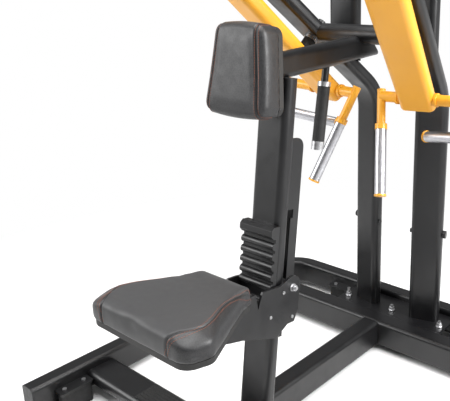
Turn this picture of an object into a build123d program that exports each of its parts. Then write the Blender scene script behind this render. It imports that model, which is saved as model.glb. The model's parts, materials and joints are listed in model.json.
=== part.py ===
"""Plate-loaded seated row machine with two independent overhead arms.

Units are millimetres.  +Z is up, +Y is the way the user faces (towards the
column and the uprights) and +X is the user's right.  The origin is on the
floor, in the middle of the rectangle the base covers.
"""
from build123d import *
import os
from math import cos, radians, sin, tan

os.makedirs("parts", exist_ok=True)

# ---------------------------------------------------------------- sizes
BASE_HALF_WIDTH = 644
BASE_HALF_DEPTH = 667
BASE_TOP = 115
BASE_HEIGHT = 100
RAIL_WIDTH = 62
RAIL_CORNER = 14
RAIL_BEND_RADIUS = 105
CAP_THICKNESS = 8
BEAM_WIDTH = 76
WALL = 3

OVAL_WIDTH = 115
OVAL_DEPTH = 48
OVAL_CORNER = 20

MID_BEAM_Y = 404
FRONT_BEAM_Y = -415
FRONT_BEAM_TOP = 85
UPRIGHT_X = 128
UPRIGHT_Y = 542
TOE_ANGLE = 15
BASE_PLATE_TOP = 90
BASE_PLATE_THICKNESS = 10
UPRIGHT_PLATE_WIDTH = 460

# The bent upright: a vertical leg, then a boom rising over the user.
BOOM_ANGLE = 48.6
BEND_HEIGHT = 943
BEND_RADIUS = 150
BOOM_LENGTH = 1100

# The arm hangs below its boom from an overhead pivot.
ARM_ANGLE = 45.5
ARM_DEPTH = 54
PIVOT_RUN = 845
PIVOT_HEIGHT = 1600
ARM_LENGTH = 930
HUB_RADIUS = 28
HUB_LENGTH = 118
BEARING_RADIUS = 23
SHAFT_RADIUS = 12.5
RUNNING_CLEARANCE = 0.05
EAR_INNER = 62
EAR_THICKNESS = 10
LEVER_LENGTH = 297

# The column leans away from the user; the seat slides along it.
COLUMN_LEAN = 8.44
COLUMN_FOOT_Y = -258
COLUMN_FOOT_Z = 26
COLUMN_LENGTH = 1067
RIB_COUNT = 5
RIB_PITCH = 30.6
RIB_RADIUS = 11
LOWEST_RIB = 471
RACK_HALF_WIDTH = 63

SEAT_TOP = 570
SEAT_FOAM = 62
BOARD = 16

GRIP_RADIUS = 18
GRIP_TUBE_RADIUS = 14
TUBE_WALL = 2.5


# ---------------------------------------------------------------- helpers
def save(builder, name):
    """Label a finished piece and write it as its own STEP file."""
    builder.part.label = name
    export_step(builder.part, f"parts/{name}.step")


def outward(side):
    """Unit vector square to the arm's swing plane, away from the middle."""
    return Vector(side * cos(radians(TOE_ANGLE)), sin(radians(TOE_ANGLE)), 0)


def swing_point(side, run, height, across=0):
    """Point in a side's swing plane: run towards the user, height above the floor."""
    reach = Vector(side * sin(radians(TOE_ANGLE)), -cos(radians(TOE_ANGLE)), 0)
    return Vector(side * UPRIGHT_X, UPRIGHT_Y, height) + reach * run + outward(side) * across


def swing_direction(side, run, height):
    """Unit vector in a side's swing plane."""
    return (swing_point(side, run, height) - swing_point(side, 0, 0)).normalized()


def facing(start, end, width_direction):
    """Plane at start, its normal towards end and its X along the section's width."""
    return Plane(origin=start, x_dir=width_direction, z_dir=end - start)


def solid_bar(start, end, width_direction, width, depth, corner):
    """Solid rounded bar between two points; also used to trim other pieces."""
    with BuildPart(mode=Mode.PRIVATE) as bar:
        with BuildSketch(facing(start, end, width_direction)):
            RectangleRounded(width, depth, corner)
        extrude(amount=(end - start).length)
    return bar.part


def tube(start, end, width_direction, width, depth, corner):
    """Rectangular tube with rounded corners and both ends closed."""
    along = (end - start).normalized()
    shell = solid_bar(start, end, width_direction, width, depth, corner)
    core = solid_bar(start + along * WALL, end - along * WALL, width_direction,
                     width - 2 * WALL, depth - 2 * WALL, corner - WALL)
    return shell - core


def rod(start, end, radius):
    """Round bar between two points."""
    with BuildPart(mode=Mode.PRIVATE) as bar:
        with BuildSketch(Plane(origin=start, z_dir=end - start)):
            Circle(radius)
        extrude(amount=(end - start).length)
    return bar.part


def pipe(start, end, radius, bore):
    """Round tube, open at both ends."""
    return rod(start, end, radius) - rod(start, end, bore)


def hex_head(start, end, across_flats):
    """Hexagonal bolt head or nut between two points."""
    with BuildPart(mode=Mode.PRIVATE) as head:
        with BuildSketch(Plane(origin=start, z_dir=end - start)):
            RegularPolygon(across_flats / 2, 6, major_radius=False)
        extrude(amount=(end - start).length)
    return head.part


X_DIRECTION = Vector(1, 0, 0)
Y_DIRECTION = Vector(0, 1, 0)
Z_DIRECTION = Vector(0, 0, 1)
SIDES = ((-1, "left"), (1, "right"))
BASE_MIDDLE = BASE_TOP - BASE_HEIGHT / 2

# ---------------------------------------------------------------- base
rail_x = BASE_HALF_WIDTH - RAIL_WIDTH / 2
rear_y = BASE_HALF_DEPTH - RAIL_WIDTH / 2
bend_start = rear_y - RAIL_BEND_RADIUS - 5

for side, side_name in SIDES:
    with BuildPart() as rail:
        add(tube(Vector(side * rail_x, CAP_THICKNESS - BASE_HALF_DEPTH, BASE_MIDDLE),
                 Vector(side * rail_x, bend_start, BASE_MIDDLE),
                 X_DIRECTION, RAIL_WIDTH, BASE_HEIGHT, RAIL_CORNER))
    save(rail, f"{side_name}_rail")

with BuildPart() as rear_rail:
    with BuildLine() as rear_path:
        FilletPolyline((-rail_x, bend_start, BASE_MIDDLE), (-rail_x, rear_y, BASE_MIDDLE),
                       (rail_x, rear_y, BASE_MIDDLE), (rail_x, bend_start, BASE_MIDDLE),
                       radius=RAIL_BEND_RADIUS)
    with BuildSketch(Plane(origin=(-rail_x, bend_start, BASE_MIDDLE), x_dir=(1, 0, 0),
                           z_dir=(0, 1, 0))):
        RectangleRounded(RAIL_WIDTH, BASE_HEIGHT, RAIL_CORNER)
        RectangleRounded(RAIL_WIDTH - 2 * WALL, BASE_HEIGHT - 2 * WALL,
                         RAIL_CORNER - WALL, mode=Mode.SUBTRACT)
    sweep(path=rear_path.line)
save(rear_rail, "rear_rail")

with BuildPart() as rail_caps:
    with BuildSketch(Plane(origin=(0, CAP_THICKNESS - BASE_HALF_DEPTH, BASE_MIDDLE),
                           x_dir=(1, 0, 0), z_dir=(0, -1, 0))):
        with Locations((-rail_x, 0), (rail_x, 0)):
            RectangleRounded(RAIL_WIDTH, BASE_HEIGHT, RAIL_CORNER)
    extrude(amount=CAP_THICKNESS)
save(rail_caps, "rail_caps")

inner_x = rail_x - RAIL_WIDTH / 2
with BuildPart() as mid_crossbeam:
    add(tube(Vector(-inner_x, MID_BEAM_Y, BASE_MIDDLE), Vector(inner_x, MID_BEAM_Y, BASE_MIDDLE),
             Y_DIRECTION, BEAM_WIDTH, BASE_HEIGHT, RAIL_CORNER))
save(mid_crossbeam, "mid_crossbeam")

front_beam_z = FRONT_BEAM_TOP - OVAL_DEPTH / 2
with BuildPart() as front_crossbeam:
    add(tube(Vector(-inner_x, FRONT_BEAM_Y, front_beam_z),
             Vector(inner_x, FRONT_BEAM_Y, front_beam_z),
             Y_DIRECTION, OVAL_WIDTH, OVAL_DEPTH, OVAL_CORNER))
save(front_crossbeam, "front_crossbeam")

# Ribbed rubber treads the user's feet rest on.
TREAD_INNER_X = 120
TREAD_OUTER_X = 335
TREAD_WIDTH = 84
TREAD_THICKNESS = 3
TREAD_RIBS = 7
tread_middle = (TREAD_INNER_X + TREAD_OUTER_X) / 2
tread_length = TREAD_OUTER_X - TREAD_INNER_X
with BuildPart() as foot_treads:
    for side, side_name in SIDES:
        with BuildSketch(Plane.XY.offset(FRONT_BEAM_TOP)):
            with Locations((side * tread_middle, FRONT_BEAM_Y)):
                Rectangle(tread_length, TREAD_WIDTH)
        extrude(amount=TREAD_THICKNESS)
        with BuildSketch(Plane.XY.offset(FRONT_BEAM_TOP + TREAD_THICKNESS)):
            with Locations((side * tread_middle, FRONT_BEAM_Y)):
                with GridLocations(0, TREAD_WIDTH / TREAD_RIBS, 1, TREAD_RIBS):
                    Rectangle(tread_length - 10, 5)
        extrude(amount=1.5)
save(foot_treads, "foot_treads")

# Foot plates welded inside the rails, each on a rubber foot and held by two screws.
FOOT_PLATE_TOP = 76
FOOT_PLATE_THICKNESS = 8
FOOT_PLATE_DEPTH = 46
FOOT_PLATE_LENGTH = 118
FOOT_SCREW_SPACING = 70
RUBBER_INSET = 4
inner_y = rear_y - RAIL_WIDTH / 2
side_foot_x = inner_x - FOOT_PLATE_DEPTH / 2
rear_foot_y = inner_y - FOOT_PLATE_DEPTH / 2
side_feet = [(side * side_foot_x, foot_y) for side in (-1, 1) for foot_y in (-535, 250)]
rear_feet = [(side * 290, rear_foot_y) for side in (-1, 1)]
rubber_top = FOOT_PLATE_TOP - FOOT_PLATE_THICKNESS


def foot_blocks(size_across, size_along, corner, bottom, height):
    """One rounded block under every foot position."""
    with BuildPart(mode=Mode.PRIVATE) as blocks:
        with BuildSketch(Plane.XY.offset(bottom)):
            with Locations(*side_feet):
                RectangleRounded(size_across, size_along, corner)
            with Locations(*rear_feet):
                RectangleRounded(size_along, size_across, corner)
        extrude(amount=height)
    return blocks.part


with BuildPart() as foot_plates:
    add(foot_blocks(FOOT_PLATE_DEPTH, FOOT_PLATE_LENGTH, 8, rubber_top, FOOT_PLATE_THICKNESS))
save(foot_plates, "foot_plates")

with BuildPart() as rubber_feet:
    add(foot_blocks(FOOT_PLATE_DEPTH - 2 * RUBBER_INSET, FOOT_PLATE_LENGTH - 2 * RUBBER_INSET,
                    12, 0, rubber_top))
save(rubber_feet, "rubber_feet")

SCREW_HEAD_RADIUS = 7
SCREW_HEAD_HEIGHT = 5
with BuildPart() as frame_screws:
    for side in (-1, 1):
        for end in (-1, 1):
            face_y = FRONT_BEAM_Y + end * OVAL_WIDTH / 2
            start = Vector(side * (TREAD_OUTER_X + 8), face_y, front_beam_z)
            add(rod(start, start + Y_DIRECTION * end * SCREW_HEAD_HEIGHT, SCREW_HEAD_RADIUS))
    with BuildSketch(Plane.XY.offset(FOOT_PLATE_TOP)):
        with Locations(*side_feet):
            with GridLocations(0, FOOT_SCREW_SPACING, 1, 2):
                Circle(SCREW_HEAD_RADIUS)
        with Locations(*rear_feet):
            with GridLocations(FOOT_SCREW_SPACING, 0, 2, 1):
                Circle(SCREW_HEAD_RADIUS)
    extrude(amount=SCREW_HEAD_HEIGHT)
save(frame_screws, "frame_screws")

# ---------------------------------------------------------------- column
column_plane = Plane(origin=(0, COLUMN_FOOT_Y, COLUMN_FOOT_Z), x_dir=(1, 0, 0),
                     z_dir=(0, sin(radians(COLUMN_LEAN)), cos(radians(COLUMN_LEAN))))
column_axis = column_plane.z_dir
column_foot = column_plane.origin
column_top = column_foot + column_axis * COLUMN_LENGTH

BEAM_START = Vector(0, -200, 1107)
BEAM_END = Vector(0, 385, 1133)
CHEST_BEAM_WIDTH = 50
CHEST_BEAM_HEIGHT = 74
chest_beam_solid = solid_bar(BEAM_START, BEAM_END, X_DIRECTION, CHEST_BEAM_WIDTH,
                             CHEST_BEAM_HEIGHT, OVAL_CORNER)

COLUMN_PLATE_THICKNESS = 10
with BuildPart() as column_foot_plate:
    with BuildSketch(Plane.XY.offset(BASE_TOP - BASE_HEIGHT)):
        with Locations((0, COLUMN_FOOT_Y)):
            RectangleRounded(150, 120, 12)
    extrude(amount=COLUMN_PLATE_THICKNESS)
save(column_foot_plate, "column_foot_plate")
column_plate_top = BASE_TOP - BASE_HEIGHT + COLUMN_PLATE_THICKNESS

below_plate = Box(300, 300, 60, align=(Align.CENTER, Align.CENTER, Align.MAX))
below_plate = Pos(0, COLUMN_FOOT_Y, column_plate_top) * below_plate
with BuildPart() as column:
    add(tube(column_foot - column_axis * 10, column_top, X_DIRECTION,
             OVAL_WIDTH, OVAL_DEPTH, OVAL_CORNER))
    add(below_plate, mode=Mode.SUBTRACT)
    add(chest_beam_solid, mode=Mode.SUBTRACT)
save(column, "column")
column_solid = solid_bar(column_foot - column_axis * 10, column_top, X_DIRECTION,
                         OVAL_WIDTH, OVAL_DEPTH, OVAL_CORNER)

# Spine behind the column, and the low link in front of it.
SPINE_WIDTH = 70
spine_start = Vector(0, COLUMN_FOOT_Y + OVAL_DEPTH, BASE_MIDDLE)
spine_end = Vector(0, MID_BEAM_Y - BEAM_WIDTH / 2, BASE_MIDDLE)
with BuildPart() as spine:
    add(tube(spine_start - Y_DIRECTION * OVAL_DEPTH / 2, spine_end, X_DIRECTION,
             SPINE_WIDTH, BASE_HEIGHT, RAIL_CORNER))
    add(solid_bar(column_foot - Y_DIRECTION * 30 - column_axis * 10,
                  column_top - Y_DIRECTION * 30, X_DIRECTION,
                  OVAL_WIDTH, OVAL_DEPTH + 60, 1), mode=Mode.SUBTRACT)
    add(column_foot_plate.part, mode=Mode.SUBTRACT)
save(spine, "spine")

with BuildPart() as front_link:
    add(tube(Vector(0, FRONT_BEAM_Y + OVAL_WIDTH / 2, front_beam_z),
             Vector(0, COLUMN_FOOT_Y - 5, front_beam_z), X_DIRECTION, 60, 40, 10))
    add(column_solid, mode=Mode.SUBTRACT)
save(front_link, "front_link")

# Slotted guide behind the column: the seat carriage's rollers run in its slot.
GUIDE_HALF_WIDTH = 33
GUIDE_PLATE = 6
GUIDE_DEPTH = 66
GUIDE_TOP = 896
SLOT_FRONT = OVAL_DEPTH / 2
SLOT_DEPTH = 31
SLOT_BOTTOM = 345
SLOT_TOP = 684
NOTCH_HEIGHT = 26
NOTCH_STEP = 10
GUIDE_BOTTOM = 287
GUIDE_NECK = 322
GUIDE_SHOULDER = 357
GUIDE_CORNER = 28
slot_back = SLOT_FRONT + SLOT_DEPTH
guide_back = SLOT_FRONT + GUIDE_DEPTH
web_bottom = GUIDE_SHOULDER + 10
web_top = GUIDE_TOP - GUIDE_CORNER
with BuildPart() as rear_guide:
    for side, side_name in SIDES:
        guide_side = Plane(origin=column_foot + X_DIRECTION * (side * GUIDE_HALF_WIDTH),
                           x_dir=column_plane.y_dir, z_dir=(1, 0, 0))
        with BuildSketch(guide_side):
            with BuildLine():
                Polyline((SLOT_FRONT, GUIDE_BOTTOM), (slot_back, GUIDE_BOTTOM),
                         (slot_back, GUIDE_NECK), (guide_back, GUIDE_SHOULDER), (guide_back, GUIDE_TOP),
                         (SLOT_FRONT, GUIDE_TOP), (SLOT_FRONT, SLOT_TOP),
                         (slot_back + NOTCH_STEP, SLOT_TOP),
                         (slot_back + NOTCH_STEP, SLOT_TOP - NOTCH_HEIGHT),
                         (slot_back, SLOT_TOP - NOTCH_HEIGHT),
                         (slot_back, SLOT_BOTTOM), (SLOT_FRONT, SLOT_BOTTOM),
                         close=True)
            make_face()
            top_back = [v for v in vertices() if v.Y == max(p.Y for p in vertices())]
            fillet(sorted(top_back, key=lambda v: v.X)[-1], GUIDE_CORNER)
        extrude(amount=-side * GUIDE_PLATE)
    web = Plane(origin=column_foot, x_dir=(1, 0, 0), z_dir=column_plane.y_dir)
    with BuildSketch(web.offset(guide_back - GUIDE_PLATE)):
        with Locations((0, -(web_bottom + web_top) / 2)):
            Rectangle(2 * GUIDE_HALF_WIDTH - 2 * GUIDE_PLATE, web_top - web_bottom)
    extrude(amount=GUIDE_PLATE)
save(rear_guide, "rear_guide")

# Ratchet rack on the column's front: a bevelled cap over five ribs.
RACK_DEPTH = 14
RACK_BOTTOM = 400
rack_top_rib = LOWEST_RIB + (RIB_COUNT - 1) * RIB_PITCH
CAP_BOTTOM = rack_top_rib + 22
CAP_HEIGHT = 36
CAP_DEPTH = 33
CAP_BEVEL = 10
front_face = -OVAL_DEPTH / 2
with BuildPart() as seat_rack:
    rack_side = Plane(origin=column_foot - X_DIRECTION * RACK_HALF_WIDTH,
                      x_dir=column_plane.y_dir, z_dir=(1, 0, 0))
    with BuildSketch(rack_side):
        with BuildLine():
            Polyline((front_face, RACK_BOTTOM), (front_face, CAP_BOTTOM + CAP_HEIGHT),
                     (front_face - CAP_DEPTH + CAP_BEVEL, CAP_BOTTOM + CAP_HEIGHT),
                     (front_face - CAP_DEPTH, CAP_BOTTOM + CAP_HEIGHT - CAP_BEVEL),
                     (front_face - CAP_DEPTH, CAP_BOTTOM + CAP_BEVEL),
                     (front_face - CAP_DEPTH + CAP_BEVEL, CAP_BOTTOM),
                     (front_face - RACK_DEPTH, CAP_BOTTOM),
                     (front_face - RACK_DEPTH, RACK_BOTTOM), close=True)
        make_face()
        for index in range(RIB_COUNT):
            with Locations((front_face - RACK_DEPTH, LOWEST_RIB + index * RIB_PITCH)):
                Circle(RIB_RADIUS)
    extrude(amount=2 * RACK_HALF_WIDTH)
save(seat_rack, "seat_rack")

# ---------------------------------------------------------------- uprights and booms
with BuildPart() as upright_base_plate:
    with BuildSketch(Plane.XY.offset(BASE_PLATE_TOP - BASE_PLATE_THICKNESS)):
        plate_front = MID_BEAM_Y + BEAM_WIDTH / 2
        plate_back = rear_y - RAIL_WIDTH / 2
        with Locations((0, (plate_front + plate_back) / 2)):
            Rectangle(UPRIGHT_PLATE_WIDTH, plate_back - plate_front)
    extrude(amount=BASE_PLATE_THICKNESS)
save(upright_base_plate, "upright_base_plate")

BASE_BOLT_X = 208
with BuildPart() as base_bolts:
    for bolt_x in (-BASE_BOLT_X, 0, BASE_BOLT_X):
        seat_point = Vector(bolt_x, UPRIGHT_Y - 26, BASE_PLATE_TOP)
        add(rod(seat_point, seat_point + Z_DIRECTION * 3, 13))
        add(hex_head(seat_point + Z_DIRECTION * 3, seat_point + Z_DIRECTION * 14, 19))
        add(rod(seat_point + Z_DIRECTION * 14, seat_point + Z_DIRECTION * 22, 6))
save(base_bolts, "base_bolts")

boom_solids = {}
for side, side_name in SIDES:
    bend = swing_point(side, 0, BEND_HEIGHT)
    boom_direction = swing_direction(side, sin(radians(BOOM_ANGLE)), cos(radians(BOOM_ANGLE)))
    boom_end = bend + boom_direction * BOOM_LENGTH
    foot = swing_point(side, 0, BASE_PLATE_TOP)
    foot_plane = Plane(origin=foot, x_dir=outward(side), z_dir=(0, 0, 1))
    with BuildPart() as upright:
        with BuildLine() as path:
            FilletPolyline(foot, bend, boom_end, radius=BEND_RADIUS)
        with BuildSketch(foot_plane):
            RectangleRounded(OVAL_WIDTH, OVAL_DEPTH, OVAL_CORNER)
            RectangleRounded(OVAL_WIDTH - 2 * WALL, OVAL_DEPTH - 2 * WALL, OVAL_CORNER - WALL,
                             mode=Mode.SUBTRACT)
        sweep(path=path.line)
        with BuildSketch(facing(boom_end, boom_end + boom_direction, outward(side))):
            RectangleRounded(OVAL_WIDTH, OVAL_DEPTH, OVAL_CORNER)
        extrude(amount=WALL)
    save(upright, f"{side_name}_upright")
    boom_solids[side] = solid_bar(bend, boom_end + boom_direction * WALL, outward(side),
                                  OVAL_WIDTH, OVAL_DEPTH, OVAL_CORNER)

# Round tube between the booms, and the chest pad's beam welded to it.
CROSS_TUBE_RADIUS = 30
CROSS_TUBE_RUN = 256
CROSS_TUBE_HEIGHT = 1168
CROSS_TUBE_BITE = 12
cross_inset = CROSS_TUBE_BITE - OVAL_WIDTH / 2
cross_start = swing_point(-1, CROSS_TUBE_RUN, CROSS_TUBE_HEIGHT, cross_inset)
cross_end = swing_point(1, CROSS_TUBE_RUN, CROSS_TUBE_HEIGHT, cross_inset)
with BuildPart() as cross_tube:
    add(pipe(cross_start, cross_end, CROSS_TUBE_RADIUS, CROSS_TUBE_RADIUS - WALL))
    add(boom_solids[-1], mode=Mode.SUBTRACT)
    add(boom_solids[1], mode=Mode.SUBTRACT)
save(cross_tube, "cross_tube")

# Posts standing on the booms, tied together and braced to the booms' upper ends.
POST_X = 150
POST_Y = 413
POST_TOP = 1672
BELOW_BOOM = 260
post_solids = {}
for side, side_name in SIDES:
    bend = swing_point(side, 0, BEND_HEIGHT)
    boom_up = swing_direction(side, sin(radians(BOOM_ANGLE)), cos(radians(BOOM_ANGLE)))
    under_boom = swing_direction(side, cos(radians(BOOM_ANGLE)), -sin(radians(BOOM_ANGLE)))
    cut_start = bend - boom_up * 200 + under_boom * (BELOW_BOOM - OVAL_DEPTH) / 2
    boom_and_below = solid_bar(cut_start, cut_start + boom_up * 600, outward(side),
                               2 * OVAL_WIDTH, BELOW_BOOM, 1)
    post_foot = Vector(side * POST_X, POST_Y, 1000)
    post_head = Vector(side * POST_X, POST_Y, POST_TOP)
    with BuildPart() as post:
        add(tube(post_foot, post_head, X_DIRECTION, OVAL_WIDTH, OVAL_DEPTH, OVAL_CORNER))
        add(boom_and_below, mode=Mode.SUBTRACT)
    upper = post.part.solids().sort_by(Axis.Z)[-1]
    with BuildPart() as post:
        add(upper)
    save(post, f"{side_name}_post")
    post_solids[side] = solid_bar(post_foot, post_head, X_DIRECTION, OVAL_WIDTH, OVAL_DEPTH,
                                  OVAL_CORNER)

TIE_HEIGHT = 1560
with BuildPart() as post_tie:
    add(tube(Vector(-POST_X, POST_Y, TIE_HEIGHT), Vector(POST_X, POST_Y, TIE_HEIGHT),
             Y_DIRECTION, 40, 60, 8))
    add(post_solids[-1], mode=Mode.SUBTRACT)
    add(post_solids[1], mode=Mode.SUBTRACT)
save(post_tie, "post_tie")

BRACE_HEIGHT = 1640
for side, side_name in SIDES:
    brace_start = Vector(side * POST_X, POST_Y, BRACE_HEIGHT)
    brace_end = swing_point(side, 775, BRACE_HEIGHT + 10)
    with BuildPart() as brace:
        add(tube(brace_start, brace_end, X_DIRECTION, 60, 40, 8))
        add(post_solids[side], mode=Mode.SUBTRACT)
        add(boom_solids[side], mode=Mode.SUBTRACT)
    longest = brace.part.solids().sort_by(SortBy.VOLUME)[-1]
    with BuildPart() as brace:
        add(longest)
    save(brace, f"{side_name}_brace")

# ---------------------------------------------------------------- arms
LEVER_WIDTH = 100
LEVER_DEPTH = 50
LEVER_OVERHANG = 30
HORN_RADIUS = 24.5
HORN_LENGTH = 330
HORN_FLANGE_RADIUS = 44
HORN_FLANGE_THICKNESS = 8
COUNTERWEIGHT_RADIUS = 70
COUNTERWEIGHT_THICKNESS = 90
SADDLE = 8
EAR_RADIUS = 34
BUMPER_ALONG = 336
BUMPER_RADIUS = 22
COLLAR_HEIGHT = 9
KNOB_HEIGHT = 22
CROSSBAR_RADIUS = 17.5
CROSSBAR_COLLAR_RADIUS = 22
CROSSBAR_COLLAR_SPAN = (63, 71)
CROSSBAR_HEIGHT = 970
CROSSBAR_INNER = 127
CROSSBAR_OUTER = 272
BUMPER_GAP = 0.3
WELD_GAP = 0.1
HANG_END = 331
RING_STEP = 1.8
UPRIGHT_BOLT_HEIGHT = 440

shafts = []
bumper_rubbers = []
bumper_collar_rings = []
bolt_heads = []

for side, side_name in SIDES:
    pivot = swing_point(side, PIVOT_RUN, PIVOT_HEIGHT)
    across = outward(side)
    to_user = swing_direction(side, 1, 0)
    arm_down = swing_direction(side, -sin(radians(ARM_ANGLE)), -cos(radians(ARM_ANGLE)))
    arm_up_face = swing_direction(side, -cos(radians(ARM_ANGLE)), sin(radians(ARM_ANGLE)))
    boom_up = swing_direction(side, sin(radians(BOOM_ANGLE)), cos(radians(BOOM_ANGLE)))
    under_boom = swing_direction(side, cos(radians(BOOM_ANGLE)), -sin(radians(BOOM_ANGLE)))
    bend = swing_point(side, 0, BEND_HEIGHT)

    # Pivot bracket: saddle plate on the boom's underside and two ears for the shaft.
    saddle_gap = (pivot - bend).dot(under_boom) - OVAL_DEPTH / 2
    saddle_middle = pivot - under_boom * (saddle_gap - SADDLE / 2)
    ear_outer = EAR_INNER + EAR_THICKNESS
    with BuildPart() as pivot_bracket:
        add(solid_bar(saddle_middle - across * ear_outer, saddle_middle + across * ear_outer,
                      boom_up, 2 * EAR_RADIUS, SADDLE, 1))
        for end in (-1, 1):
            ear = pivot + across * end * (EAR_INNER + EAR_THICKNESS / 2)
            half_ear = across * EAR_THICKNESS / 2
            add(rod(ear - half_ear, ear + half_ear, EAR_RADIUS))
            add(solid_bar(ear, ear - under_boom * saddle_gap, across, EAR_THICKNESS,
                          2 * EAR_RADIUS, 1))
        add(rod(pivot - across * ear_outer, pivot + across * ear_outer,
                SHAFT_RADIUS + RUNNING_CLEARANCE), mode=Mode.SUBTRACT)
    save(pivot_bracket, f"{side_name}_pivot_bracket")

    shaft_end = ear_outer + 14
    shafts.append(rod(pivot - across * shaft_end, pivot + across * shaft_end, SHAFT_RADIUS))
    for end in (-1, 1):
        shafts.append(hex_head(pivot + across * end * (ear_outer + 0.5),
                               pivot + across * end * (ear_outer + 11), 36))

    # Two flanged bearings pressed into the arm's hub.
    hub_half = HUB_LENGTH / 2
    with BuildPart() as bearings:
        for end in (-1, 1):
            face = pivot + across * end * hub_half
            add(rod(face, face - across * end * 22, BEARING_RADIUS))
            add(rod(face, face + across * end * 2.5, BEARING_RADIUS + 2))
        add(rod(pivot - across * EAR_INNER, pivot + across * EAR_INNER,
                SHAFT_RADIUS + RUNNING_CLEARANCE), mode=Mode.SUBTRACT)
    save(bearings, f"{side_name}_bearings")

    # The handle's crossbar passes through the arm near its lower end.
    crossbar_along = (PIVOT_HEIGHT - CROSSBAR_HEIGHT) / cos(radians(ARM_ANGLE))
    crossbar_middle = pivot + arm_down * crossbar_along
    crossbar_direction = Vector(side * 0.995, 0.087, 0.02).normalized()
    crossbar_inner = crossbar_middle - crossbar_direction * CROSSBAR_INNER
    crossbar_outer = crossbar_middle + crossbar_direction * CROSSBAR_OUTER

    hub_solid = rod(pivot - across * hub_half, pivot + across * hub_half, HUB_RADIUS)
    with BuildPart() as arm:
        add(tube(pivot + arm_down * 10, pivot + arm_down * ARM_LENGTH, across,
                 OVAL_WIDTH, ARM_DEPTH, OVAL_CORNER))
        add(hub_solid, mode=Mode.SUBTRACT)
        add(pipe(pivot - across * hub_half, pivot + across * hub_half, HUB_RADIUS,
                 BEARING_RADIUS + RUNNING_CLEARANCE))
        add(rod(crossbar_inner, crossbar_outer, CROSSBAR_RADIUS + WELD_GAP), mode=Mode.SUBTRACT)
    save(arm, f"{side_name}_arm")

    # Handle, all of closed tube: crossbar, inner hanging grip, outer drop and low grip.
    hang_direction = Vector(side * 0.249, -0.373, -0.894).normalized()
    hang_top = crossbar_inner - hang_direction * 23
    hang_bottom = crossbar_inner + hang_direction * HANG_END
    low_inner = Vector(side * 181, 408, 835)
    low_direction = Vector(side * 0.968, -0.25, 0.149).normalized()
    low_outer = low_inner + low_direction * 290
    runs = ((crossbar_inner, crossbar_outer, CROSSBAR_RADIUS),
            (hang_top, hang_bottom, GRIP_TUBE_RADIUS),
            (low_inner, low_outer, GRIP_TUBE_RADIUS),
            (crossbar_outer, low_outer, GRIP_TUBE_RADIUS))
    with BuildPart() as handle:
        for run_start, run_end, radius in runs:
            add(rod(run_start, run_end, radius))
        for end in (-1, 1):
            collar_from, collar_to = CROSSBAR_COLLAR_SPAN
            add(rod(crossbar_middle + crossbar_direction * end * collar_from,
                    crossbar_middle + crossbar_direction * end * collar_to,
                    CROSSBAR_COLLAR_RADIUS))
        with Locations(low_outer, crossbar_outer):
            Sphere(GRIP_TUBE_RADIUS)
        for run_start, run_end, radius in runs:
            inset = (run_end - run_start).normalized() * TUBE_WALL
            add(rod(run_start + inset, run_end - inset, radius - TUBE_WALL), mode=Mode.SUBTRACT)
    save(handle, f"{side_name}_handle")

    # Bright sleeves on the two grip tubes, with coloured rings at their ends.
    bore = GRIP_TUBE_RADIUS + RUNNING_CLEARANCE
    ring = GRIP_RADIUS + RING_STEP
    hang_spans = ((94, 112, ring), (112, HANG_END - 6, GRIP_RADIUS), (HANG_END - 6, HANG_END, ring))
    low_spans = ((0, 6, ring), (6, 240, GRIP_RADIUS), (240, 256, ring))
    with BuildPart() as grips:
        for origin, direction, spans in ((crossbar_inner, hang_direction, hang_spans),
                                         (low_inner, low_direction, low_spans)):
            for span_start, span_end, radius in spans:
                if radius == GRIP_RADIUS:
                    add(pipe(origin + direction * span_start, origin + direction * span_end,
                             radius, bore))
    save(grips, f"{side_name}_grips")
    with BuildPart() as grip_rings:
        for origin, direction, spans in ((crossbar_inner, hang_direction, hang_spans),
                                         (low_inner, low_direction, low_spans)):
            for span_start, span_end, radius in spans:
                if radius == ring:
                    add(pipe(origin + direction * span_start, origin + direction * span_end,
                             radius, bore))
    save(grip_rings, f"{side_name}_grip_rings")

    # Lever behind the pivot with the weight horn outside and a counterweight inside.
    lever_end = pivot + to_user * LEVER_LENGTH
    with BuildPart() as weight_lever:
        add(tube(pivot + to_user * 10, lever_end + to_user * LEVER_OVERHANG, across,
                 LEVER_WIDTH, LEVER_DEPTH, OVAL_CORNER))
        add(hub_solid, mode=Mode.SUBTRACT)
        add(solid_bar(pivot, pivot + arm_down * 200, across, OVAL_WIDTH, ARM_DEPTH, OVAL_CORNER),
            mode=Mode.SUBTRACT)
    save(weight_lever, f"{side_name}_weight_lever")
    horn_root = lever_end + across * LEVER_WIDTH / 2
    horn_plane = Plane(origin=horn_root, x_dir=Z_DIRECTION, z_dir=across)
    with BuildPart() as weight_horn:
        with BuildSketch(horn_plane):
            Circle(HORN_FLANGE_RADIUS)
        extrude(amount=HORN_FLANGE_THICKNESS)
        with BuildSketch(horn_plane):
            Circle(HORN_RADIUS)
        extrude(amount=HORN_LENGTH)
        chamfer(faces().sort_by(Axis.X, reverse=side < 0)[-1].edges(), 2)
    save(weight_horn, f"{side_name}_weight_horn")
    weight_root = lever_end - across * LEVER_WIDTH / 2
    with BuildPart() as counterweight:
        add(rod(weight_root, weight_root - across * COUNTERWEIGHT_THICKNESS,
                COUNTERWEIGHT_RADIUS))
        fillet(edges().filter_by(GeomType.CIRCLE), 4)
    save(counterweight, f"{side_name}_counterweight")

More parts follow.
